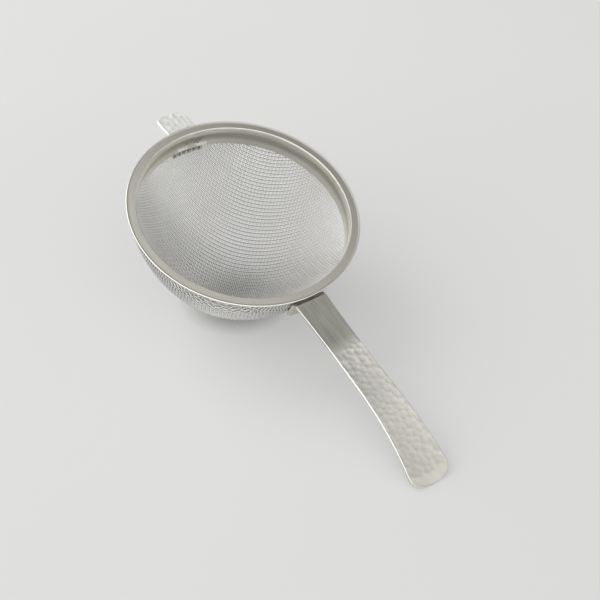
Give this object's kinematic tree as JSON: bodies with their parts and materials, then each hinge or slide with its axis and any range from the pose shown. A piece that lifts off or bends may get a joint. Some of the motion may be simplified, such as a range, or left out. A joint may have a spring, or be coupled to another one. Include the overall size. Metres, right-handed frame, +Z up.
{
  "type": "tea strainer",
  "caption": "Woven steel bowl under a flanged rim, with a long flared strip handle and a short rest tab opposite.",
  "frame": {"origin": "on the table the strainer lies on, under the middle of its box", "axes": "+Z up from the table; +X along the handle, away from the bowl; the rim is tilted about Y with its handle side down"},
  "size_m": [0.1444, 0.076, 0.0535],
  "materials": {
    "rim_steel": "satin, brushed round the ring",
    "mesh_steel": "plain woven stainless wire",
    "hammered_steel": "hand-hammered facets over a satin strip"
  },
  "bodies": {
    "root": {"rim_ring": "rim_steel", "inner_mesh": "mesh_steel", "outer_mesh": "mesh_steel", "handle": "hammered_steel", "rest_tab": "hammered_steel"}
  },
  "joints": []
}
